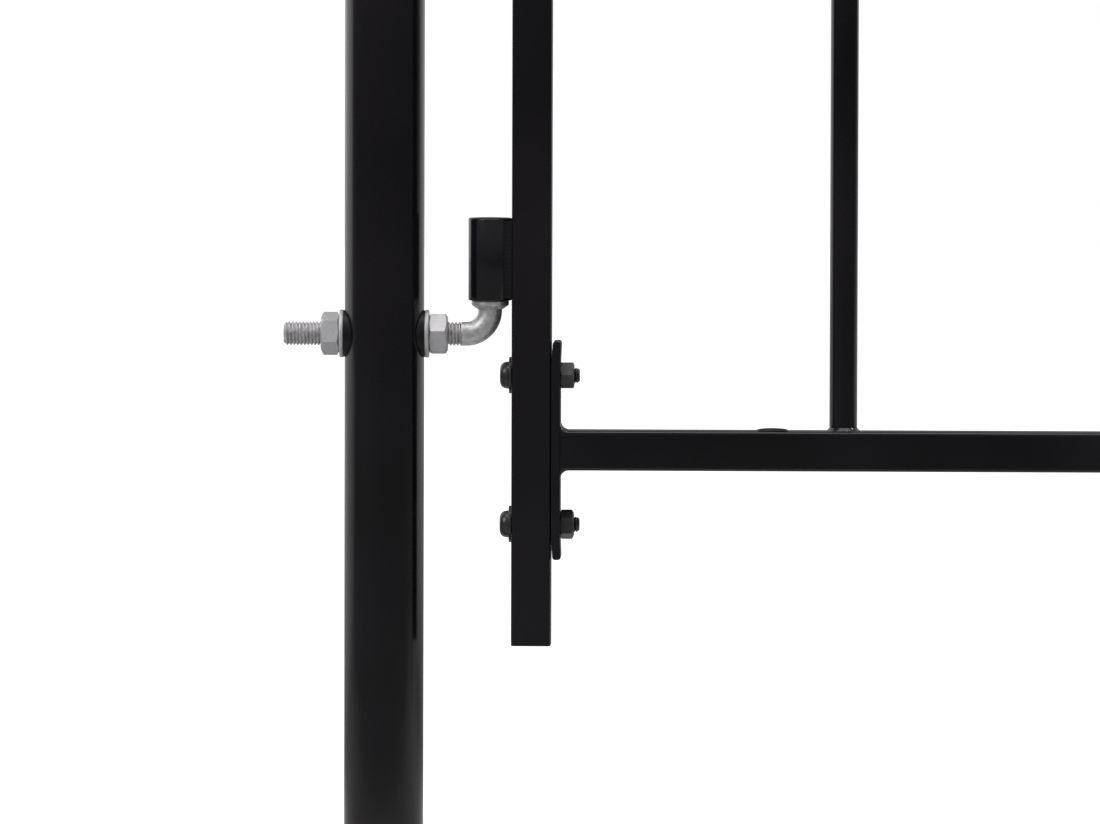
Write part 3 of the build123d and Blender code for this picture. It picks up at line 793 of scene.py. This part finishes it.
for rail in ("bottom", "top"):
    for stile, way in (("hinge", 1), ("latch", -1)):
        node = f"{rail}_rail_{stile}_plate"
        low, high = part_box(node)
        near = low.x if way > 0 else high.x
        far = near + way * plate_thickness
        box_low = Vector((min(near, far), low.y, low.z))
        box_high = Vector((max(near, far), high.y, high.z))
        middle = (box_low + box_high) / 2
        plate = add("cube", node + "_bar", size=1, location=middle, scale=box_high - box_low)
        bpy.ops.object.mode_set(mode="EDIT")
        for share in plate_cuts:
            for cut_z in (low.z + share * plate_lip, high.z - share * plate_lip):
                bpy.ops.mesh.select_all(action="SELECT")
                bpy.ops.mesh.bisect(plane_co=(0, 0, cut_z), plane_no=(0, 0, 1))
        for share, lift in plate_curve:
            rows = (low.z + share * plate_lip, high.z - share * plate_lip)
            for face_x, drawn in ((near, plate_lift), (far, plate_lean)):
                pick(
                    "VERT",
                    lambda point: min(abs(point.co.z - row) for row in rows) < hair
                    and abs(point.co.x - face_x) < plate_thickness / 2,
                )
                bpy.ops.transform.translate(value=(way * drawn * lift, 0, 0))
        pick(
            "EDGE",
            lambda edge: runs_along(1)(edge)
            and not low.z + hair < edge.verts[0].co.z < high.z - hair,
        )
        bpy.ops.mesh.bevel(offset=plate_round, segments=5, affect="EDGES")
        bpy.ops.object.mode_set(mode="OBJECT")
        soften(plate, plate_edge, angle=50)
        fit(plate, powder_coat, "black_coat", "leaf", node)

# Rail welds. A hollow fillet above and below each rail where it meets its end plate, as wide as the
# rail, rippled, coated over and thinning at its ends where it drapes over the rail's round corners.
rail_weld_leg = 0.004
rail_weld_width = 0.0199
rail_weld_pitch = 0.0024
rail_weld_ripple = 0.00014
rail_weld_end = 0.004
rail_weld_taper = 0.15
rail_weld_thinning = 0.70
fillet_hollow = 0.25
fillet_toe = 0.0003


def fillet_of(leg):
    """The section of a hollow fillet weld in the corner at 0, 0."""
    section = [(0, 0), (leg, 0)]
    for share in [step / 10 for step in range(1, 10)]:
        sag = 4 * share * (1 - share) * fillet_hollow / math.sqrt(2)
        section.append((leg * (1 - share - sag), leg * (share - sag)))
    return section + [(0, leg)]


def away_from_corner(point):
    """How a fillet's face swells: square to itself, and not at its toes."""
    free = min(point.x, point.y) > fillet_toe
    return Vector((0.7, 0.7, 0)) if free else Vector()


def in_corner(corner, way_x, way_z, width):
    """The place of a fillet run along Y in a corner that opens the ways given, its middle on Y 0."""
    run = -way_x * way_z
    axes = Matrix(((way_x, 0, 0), (0, 0, run), (0, way_z, 0))).to_4x4()
    x, z = corner
    return Matrix.Translation((x, -run * width / 2, z)) @ axes


corner_weld = bead(
    "corner_weld",
    fillet_of(rail_weld_leg),
    away_from_corner,
    rail_weld_width,
    rail_weld_pitch,
    rail_weld_ripple,
)
for point in corner_weld.data.vertices:
    to_end = max(0, min(point.co.z, rail_weld_width - point.co.z))
    short = max(0, 1 - to_end / rail_weld_end)
    lost = 1 - math.sqrt(1 - short**2)
    over = max(0, abs(point.co.z - rail_weld_width / 2) - tube_side / 2 + tube_corner)
    drop = tube_corner - math.sqrt(tube_corner**2 - over**2)
    point.co.x *= 1 - rail_weld_taper * lost
    point.co.y = point.co.y * (1 - rail_weld_thinning * lost) - drop
for rail in ("bottom", "top"):
    low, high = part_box(rail + "_rail")
    for x, way_x, stile in ((low.x, 1, "hinge"), (high.x, -1, "latch")):
        for z, way_z, edge in ((low.z, -1, "under"), (high.z, 1, "over")):
            spot = in_corner((x, z), way_x, way_z, rail_weld_width)
            weld = copy_of(corner_weld, f"{rail}_rail_{stile}_{edge}_weld", spot)
            fit(weld, powder_coat, "black_coat", "leaf", "rail_welds")
discard(corner_weld)

# Rail plugs. Low domed plugs of black moulded plastic, pushed into the coating holes in the bottom
# rail's upper wall.
rail_plug_radius = 0.008
rail_plug_rim = 0.0004
rail_plug_dome = 0.0009

low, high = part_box("rail_plugs")
rail_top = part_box("bottom_rail")[1].z
plug_rings = [(rail_plug_radius, 0), (rail_plug_radius, rail_plug_rim)]
plug_rings += dome_rings(rail_plug_radius, rail_plug_rim, rail_plug_dome, (75, 55, 35, 15, 2))
rail_plug = turned("rail_plug", plug_rings, segments=64)
smooth(rail_plug, 50)
for x, end in ((low.x + rail_plug_radius, "hinge"), (high.x - rail_plug_radius, "latch")):
    plug = copy_of(rail_plug, end + "_end_rail_plug", Matrix.Translation((x, 0, rail_top)))
    fit(plug, plastic, "black_plastic", "leaf", "rail_plugs")
discard(rail_plug)

# Rail screws. M8 button-head socket screws, black zinc plated, each with a plain washer under the
# head and a hexagon nut on the end plate.
screw_radius = 0.004
screw_pitch = 0.00125
screw_edge = 0.00015
screw_head_radius = 0.0068
screw_head_height = 0.0046
screw_head_rim = 0.001
screw_head_flat = 0.0032
screw_head_bulge = 0.0011
screw_socket = 0.005
screw_socket_depth = 0.0026
screw_turn = 11
screw_washer_radius = 0.0092
screw_washer_bore = 0.0045
screw_washer_thickness = 0.0014
screw_washer_edge = 0.00028
nut_flats = 0.013
nut_height = 0.0068
nut_bite = 0.0003
nut_heel = 0.97
nut_turns = {"bottom": (5, 27, 14, 52), "top": (41, 9, 27, 18)}
shank_length = 0.027
thread_length = 0.0112
thread_end = 0.0028
thread_chamfer = 0.0012

black_zinc, surface, place = begin_finish("black_zinc_plate")
stain = noise(place, 260.0, 4.0)
fleck = noise(place, 1700.0, 2.0)
plated = blend(stain, (0.020, 0.020, 0.022, 1), (0.070, 0.069, 0.072, 1))
plated.feed(surface, "Base Color")
(0.35 + 0.3 * stain).feed(surface, "Metallic")
(0.22 + 0.18 * stain).feed(surface, "Roughness")
relief(stain + 0.3 * fleck, 0.25, 0.00006).feed(surface, "Normal")

rise = screw_head_height - screw_head_rim
spread = screw_head_radius - screw_head_flat
head = [(screw_head_flat, -screw_head_height)]
for share in (0.2, 0.4, 0.6, 0.8, 1.0):
    swell = 4 * share * (1 - share) * screw_head_bulge / math.sqrt(2)
    radius = screw_head_flat + spread * share + swell
    head.append((radius, -screw_head_height + rise * share - swell))
head += [(screw_head_radius, 0), (screw_radius, 0), (screw_radius, shank_length)]
screw = turned("screw", head, segments=64)
socket_corner = screw_socket / math.sqrt(3)
cut_away(screw, drill(socket_corner, 2 * screw_socket_depth, (0, 0, -screw_head_height), sides=6))
soften(screw, screw_edge, angle=45)
screw_tip = thread("screw_tip", screw_radius, screw_pitch, thread_length, thread_chamfer)
full_length = screw_washer_thickness + tube_side + plate_thickness + nut_height + thread_end
screw_tip.matrix_world = Matrix.Translation((0, 0, full_length)) @ Matrix.Rotation(math.pi, 4, "X")
screw = join("rail_screw", screw, screw_tip)
screw_washer = turned_ring(
    "rail_washer", screw_washer_radius, screw_washer_bore, screw_washer_thickness, screw_washer_edge
)
screw_nut = hex_nut("rail_nut", nut_flats, nut_height, screw_radius - nut_bite, nut_heel)
leaf_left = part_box("hinge_stile")[0].x
leaf_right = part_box("latch_stile")[1].x
for rail in ("bottom", "top"):
    low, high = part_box(rail + "_rail_screws")
    heights = (low.z + screw_head_radius, high.z - screw_head_radius)
    seats = [(leaf_left, 1, z) for z in heights] + [(leaf_right, -1, z) for z in heights]
    for (x, way, z), turn, number in zip(seats, nut_turns[rail], (1, 2, 3, 4)):
        name = f"{rail}_rail_{number}"
        head_x = x - way * screw_washer_thickness
        nut_x = x + way * (tube_side + plate_thickness)
        bolt = copy_of(screw, name + "_screw", seat((head_x, 0, z), way, screw_turn * number))
        ring = copy_of(screw_washer, name + "_washer", seat((x, 0, z), -way))
        nut = copy_of(screw_nut, name + "_nut", seat((nut_x, 0, z), way, turn))
        fit(bolt, black_zinc, "black_zinc", "leaf", rail + "_rail_screws")
        fit(ring, black_zinc, "black_zinc", "leaf", rail + "_rail_washers")
        fit(nut, black_zinc, "black_zinc", "leaf", rail + "_rail_nuts")
discard(screw, screw_washer, screw_nut)

# Pickets. Five 14 mm round steel tubes in the leaf's gloss coat. They stand in the bottom rail and
# pass up through the top one.
picket_numbers = range(1, 6)
picket_radius = 0.007
picket_wall = 0.0015
picket_edge = 0.0002
picket_sides = 72

for number in picket_numbers:
    node = f"picket_{number}"
    picket = round_tube(node, picket_radius, picket_wall, picket_sides, picket_edge)
    fit(picket, powder_coat, "black_coat", "leaf", node)

# Picket welds. A small rippled bead round each picket where it comes out of a rail, under the coat.
# One is modelled, and copied to both faces of the top rail and the upper face of the bottom one.
picket_weld_leg = 0.0018
picket_weld_ripples = 14

rail_faces = [
    ("bottom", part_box("bottom_rail")[1].z, 0),
    ("under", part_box("top_rail")[0].z, math.pi),
    ("over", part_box("top_rail")[1].z, 0),
]
picket_weld = ring_weld("picket_weld", picket_radius, picket_weld_leg, picket_weld_ripples)
for number in picket_numbers:
    low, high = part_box(f"picket_{number}")
    for face, z, turn in rail_faces:
        spot = Matrix.Translation(((low.x + high.x) / 2, 0, z)) @ Matrix.Rotation(turn, 4, "X")
        weld = copy_of(picket_weld, f"picket_{number}_{face}_weld", spot)
        fit(weld, powder_coat, "black_coat", "leaf", "picket_welds")
discard(picket_weld)

# Spear points. Cast steel: a round collar over the picket's end, a neck, and a leaf blade with a ridge
# down the middle of each face. The coat shows the casting's slightly coarser skin.
spear_collar_radius = 0.0105
spear_collar_height = 0.007
spear_collar_round = 0.0024
spear_neck_radius = 0.0055
spear_neck_height = 0.005
spear_neck_flare = ((0.0012, 0), (0.0003, 0.0006), (0, 0.0015))
blade_root = Vector((0.0055, 0.0055, 0))
blade_swell = Vector((0.0233, 0.0069, 0.0317))
blade_draw = Vector((0.0215, 0.0079, 0.0637))
blade_tip = Vector((0.0011, 0.00085, 0.0918))
blade_end = Vector((0.0005, 0.0004, 0.0920))
blade_steps = 24
blade_ridge = 0.9
blade_ridge_start = 0.009

cast_coat = begin_coat("gloss_black_coat_on_casting", 0.00010, 260.0)

turns = [math.radians(angle) for angle in (0, 22, 45, 68, 90)]
inner = spear_collar_radius - spear_collar_round
collar = [
    (inner + spear_collar_round * math.sin(t), spear_collar_round * (1 - math.cos(t))) for t in turns
]
crown = [(r, spear_collar_height - h) for r, h in reversed(collar)]
blade_foot = spear_collar_height + spear_neck_height
neck = [(spear_neck_radius + out, spear_collar_height + up) for out, up in spear_neck_flare]
neck.append((spear_neck_radius, blade_foot))
sections = interpolate_bezier(blade_root, blade_swell, blade_draw, blade_tip, blade_steps)[1:]
sections.append(blade_end)
blade = [(wide, blade_foot + rise) for wide, thick, rise in sections]
spear = turned("spear", collar + crown + neck + blade, segments=48)
for point in spear.data.vertices:
    rise = point.co.z - blade_foot
    if rise > 0:
        wide, thick, _ = min(sections, key=lambda section: abs(section.z - rise))
        turn = math.atan2(point.co.y, point.co.x)
        power = 1.0 + blade_ridge * min(1.0, rise / blade_ridge_start)
        across = math.copysign(abs(math.cos(turn)) ** power, math.cos(turn))
        through = math.copysign(abs(math.sin(turn)) ** power, math.sin(turn))
        point.co.x = wide * across
        point.co.y = thick * through
smooth(spear, 32)
for number in picket_numbers:
    low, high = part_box(f"picket_{number}")
    spot = Matrix.Translation(((low.x + high.x) / 2, 0, high.z))
    point = copy_of(spear, f"spear_{number}", spot)
    fit(point, cast_coat, "black_coat", "leaf", f"spear_point_{number}")
discard(spear)

# Slide bolt. A bright 12 mm square bar with a chamfered nose, in a welded sleeve on the latch stile.
# A round handle rod is pressed into its side and carries a black ball knob.
bar_corner = 0.0005
bar_edge = 0.0003
bar_nose = 0.002
sleeve_wall = 0.00175
sleeve_corner = 0.0008
sleeve_edge = 0.0002
handle_radius = 0.0045
handle_edge = 0.0004
knob_radius = 0.013
knob_flat = 0.005
knob_gap = 0.00015
knob_socket = 0.002
knob_steps = 28
knob_pole = 0.2

bolt_steel, surface, place = begin_finish("bright_drawn_steel")
drawn = place.node("Mapping", {}, {"Vector": place, "Scale": (12.0, 900.0, 900.0)})
streak = noise(drawn, 1.0, 3.0)
haze = noise(place, 70.0, 3.0)
steel = blend(0.5 * streak + 0.5 * haze, (0.34, 0.34, 0.35, 1), (0.62, 0.62, 0.63, 1))
steel.feed(surface, "Base Color")
(0.85 + 0.1 * haze).feed(surface, "Metallic")
(0.24 + 0.22 * haze).feed(surface, "Roughness")
relief(streak, 0.2, 0.00004).feed(surface, "Normal")

bar = block("square_bolt_bar", bar_low, bar_high, 0, bar_corner, 2)
bpy.ops.object.mode_set(mode="EDIT")
pick("FACE", lambda face: face.normal.x > 0.9)
bpy.ops.transform.translate(value=(-bar_nose, 0, 0))
bpy.ops.mesh.extrude_region_move(TRANSFORM_OT_translate={"value": (bar_nose, 0, 0)})
nose_share = 1 - 2 * bar_nose / (bar_high.z - bar_low.z)
nose_middle = (bar_high.x, 0, (bar_low.z + bar_high.z) / 2)
bpy.ops.transform.resize(value=(1, nose_share, nose_share), center_override=nose_middle)
bpy.ops.object.mode_set(mode="OBJECT")
soften(bar, bar_edge, angle=30)
fit(bar, bolt_steel, "bolt_steel", "slide_bolt", "bolt_bar")

sleeve_low, sleeve_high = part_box("bolt_sleeve")
sleeve = block("bolt_sleeve_tube", sleeve_low, sleeve_high, 0, sleeve_corner, 3)
wall = Vector((0, sleeve_wall, sleeve_wall))
cut_away(sleeve, square_way(sleeve_low + wall, sleeve_high - wall))
soften(sleeve, sleeve_edge, angle=50)
fit(sleeve, powder_coat, "black_coat", "leaf", "bolt_sleeve")

low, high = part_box("bolt_handle")
handle_length = high.y - low.y
handle_foot = Vector(((low.x + high.x) / 2, high.y, (low.z + high.z) / 2))
forward = Matrix.Rotation(math.pi / 2, 4, "X")
rings = [(handle_radius, 0), (handle_radius, handle_length - handle_edge)]
handle = turned("bolt_handle_rod", rings + [(handle_radius - handle_edge, handle_length)], segments=48)
handle.matrix_world = Matrix.Translation(handle_foot) @ forward
settle("bolt_handle_rod")
smooth(handle, 40)
fit(handle, bolt_steel, "bolt_steel", "slide_bolt", "bolt_handle")

knob_foot = Vector((handle_foot.x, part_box("bolt_knob")[1].y, handle_foot.z))
knob_middle = math.sqrt(knob_radius**2 - knob_flat**2)
start = math.asin(knob_flat / knob_radius)
knob_bore = handle_radius + knob_gap
ball = [(knob_bore, knob_socket), (knob_bore, 0), (knob_flat, 0)]
for step in range(1, knob_steps + 1):
    turn = start + (math.pi - start) * step / (knob_steps + knob_pole)
    ball.append((knob_radius * math.sin(turn), knob_middle - knob_radius * math.cos(turn)))
knob = turned("bolt_ball_knob", ball, segments=64)
knob.matrix_world = Matrix.Translation(knob_foot) @ forward
settle("bolt_ball_knob")
smooth(knob, 40)
fit(knob, plastic, "black_plastic", "slide_bolt", "bolt_knob")

# Sleeve welds. A small fillet above and below the sleeve where it meets the latch stile, rippled
# under the coat.
sleeve_weld_leg = 0.003
sleeve_weld_pitch = 0.002
sleeve_weld_ripple = 0.00006

low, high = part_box("sleeve_welds")
sleeve_weld_width = high.y - low.y
small_weld = bead(
    "small_weld",
    fillet_of(sleeve_weld_leg),
    away_from_corner,
    sleeve_weld_width,
    sleeve_weld_pitch,
    sleeve_weld_ripple,
)
for z, way_z, edge in ((sleeve_low.z, -1, "under"), (sleeve_high.z, 1, "over")):
    spot = in_corner((sleeve_high.x, z), -1, way_z, sleeve_weld_width)
    weld = copy_of(small_weld, f"sleeve_{edge}_weld", spot)
    fit(weld, powder_coat, "black_coat", "leaf", "sleeve_welds")
discard(small_weld)

# Keeper. A short square steel sleeve coped to the latch post, which the bolt shoots into, with a weld
# above and below it that follows the post's round. It is coated with the post.
keeper_wall = 0.0025
keeper_edge = 0.0003
keeper_weld_root = 0.006

low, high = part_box("bolt_keeper")
latch_x = post_gap.x
middle_z = (low.z + high.z) / 2
keeper_end = Vector((latch_x, high.y, high.z))
keeper = block("keeper_sleeve", low, keeper_end, 0, sleeve_corner, 3)
wall = Vector((0, keeper_wall, keeper_wall))
cut_away(keeper, square_way(low + wall, keeper_end - wall))
cope_to_post(keeper, latch_x, middle_z)
soften(keeper, keeper_edge, angle=50)
fit(keeper, powder_coat, "black_coat", "posts", "bolt_keeper")

keeper_weld_leg = low.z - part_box("keeper_welds")[0].z
section = [(-keeper_weld_root, 0)] + fillet_of(keeper_weld_leg)[1:] + [(-keeper_weld_root, keeper_weld_leg)]
post_weld = bead(
    "post_weld", section, away_from_corner, high.y - low.y, sleeve_weld_pitch, sleeve_weld_ripple
)
for z, way_z, edge in ((low.z, -1, "under"), (high.z, 1, "over")):
    spot = in_corner((latch_x - post_radius, z), -1, way_z, high.y - low.y)
    weld = copy_of(post_weld, f"keeper_weld_{edge}", spot)
    cope_to_post(weld, latch_x, middle_z)
    smooth(weld, 60)
    fit(weld, powder_coat, "black_coat", "posts", "keeper_welds")
discard(post_weld)

# Floor. A plain pale sheet of paper that keeps the gate's shadow. To the camera it is as white as the
# backdrop, but for a shaded patch about the gate's foot. In the gate's gloss it glows below the gate
# and far back on either side.
floor_size = 12
floor_middle = (0.5, 2.5, -0.0002)


def parts_of(vector):
    """The X, Y and Z of a place or a direction."""
    split = vector.node("SeparateXYZ", {}, {"Vector": vector})
    return [Signal(vector.tree, output) for output in split.socket.node.outputs]


def ray_is(kind, signal):
    """In a signal's tree, 1 for rays of this kind and 0 for others."""
    return signal.node("LightPath", {}, {}, output=f"Is {kind} Ray")


floor = add("plane", "floor", size=floor_size, location=floor_middle)
sheet, surface, place = begin_finish("white_sheet")
x, y = parts_of(place)[:2]
patch = place.node("Mapping", {}, {"Vector": place, "Location": (-0.11, 0, 0), "Scale": (0.22, 1, 0)})
away = place.node("VectorMath", {"operation": "LENGTH"}, {0: patch}, output=1)
under = ramp(away, 0.45, 0.1, 0.0, 0.5)
flank = ramp(abs(x - 0.3), 0.6, 2.0, 0.0, 0.55)
rear = ramp(y, 0.0, 0.6)
white = ramp(away, 0.08, 0.30, 0.65, 1.0, "SMOOTHSTEP")
mirrored = ray_is("Glossy", place) + ray_is("Transmission", place)
glow = white * ray_is("Camera", place) + (under + flank * rear) * mirrored
paper = blend(noise(place, 3.0, 2.0), (0.27, 0.27, 0.27, 1), (0.30, 0.30, 0.30, 1))
paper.feed(surface, "Base Color")
surface.inputs["Roughness"].default_value = 1.0
surface.inputs["Specular IOR Level"].default_value = 0.0
shine = glow.node("CombineColor", {}, {"Red": glow, "Green": glow, "Blue": glow})
shine.feed(surface, "Emission Color")
surface.inputs["Emission Strength"].default_value = 1.0
sheet.cycles.emission_sampling = "NONE"
floor.data.materials.append(sheet)

# Studio. A white backdrop stands behind the gate and wraps round its sides, the room in front is dim,
# and soft boxes hang overhead, at the front left and at the upper right.
world = bpy.data.worlds.new("studio")
bpy.context.scene.world = world
world.use_nodes = True
tree = world.node_tree
background = tree.nodes["Background"]
way = Signal(tree, tree.nodes.new("ShaderNodeTexCoord").outputs["Generated"])
x, y, z = parts_of(way)
wing = ramp(abs(x), 0.10, 0.50, 0.11, 0.75, "SMOOTHSTEP")
behind = ramp(y - 0.17 * x, 0.37, 0.50, kind="SMOOTHSTEP")
above = ramp(z, -0.12, 0.20, 0.09, 0.34, "SMOOTHSTEP")
left = 1.26 - 0.42 * x
room = above * (1 - behind) + wing * left * behind
strength = room.node("Math", {"operation": "MAXIMUM"}, {0: ray_is("Camera", way), 1: room})
strength.feed(background, "Strength")
background.inputs["Color"].default_value = (1, 1, 1, 1)


def soft_box(name, place, aim, width, height, watts):
    """A soft box hung at a place and turned to its aim."""
    bpy.ops.object.light_add(type="AREA", location=place)
    lamp = bpy.context.object
    lamp.name = name
    lamp.data.shape = "RECTANGLE"
    lamp.data.size = width
    lamp.data.size_y = height
    lamp.data.energy = watts
    lamp.rotation_euler = (Vector(aim) - Vector(place)).to_track_quat("-Z", "Y").to_euler()
    lamp.visible_camera = False


soft_box("overhead", (0.5, -0.3, 3.2), (0.5, 0, 0.3), 3.0, 2.0, 56)
soft_box("front_left", (-2.7, -2.4, 3.0), (0.3, 0, 0.5), 2.0, 2.0, 70)
soft_box("upper_right", (2.2, 0.5, 2.2), (0.3, 0, 0.4), 0.8, 0.8, 20)

# Camera. A long lens almost square to the gate and a little above it, framed on the lower hinge
# corner and turned a hair about its own axis.
aim = Vector((0.0834, 0, 0.2225))
distance = 5.0
frame_width = 0.5533
sensor_width = 36.0
clip_end = 100.0
azimuth = math.radians(1.5)
elevation = math.radians(3.0)
roll = math.radians(0.15)

level = math.cos(elevation)
back = Vector((math.sin(azimuth) * level, -math.cos(azimuth) * level, math.sin(elevation)))
bpy.ops.object.camera_add(location=aim + back * distance)
camera = bpy.context.object
camera.name = "camera"
camera.rotation_mode = "QUATERNION"
upright = (-back).to_track_quat("-Z", "Y")
camera.rotation_quaternion = upright @ Matrix.Rotation(roll, 3, "Z").to_quaternion()
camera.data.sensor_width = sensor_width
camera.data.lens = sensor_width * distance / frame_width
camera.data.clip_end = clip_end
bpy.context.scene.camera = camera
bpy.context.scene.view_settings.view_transform = "Standard"
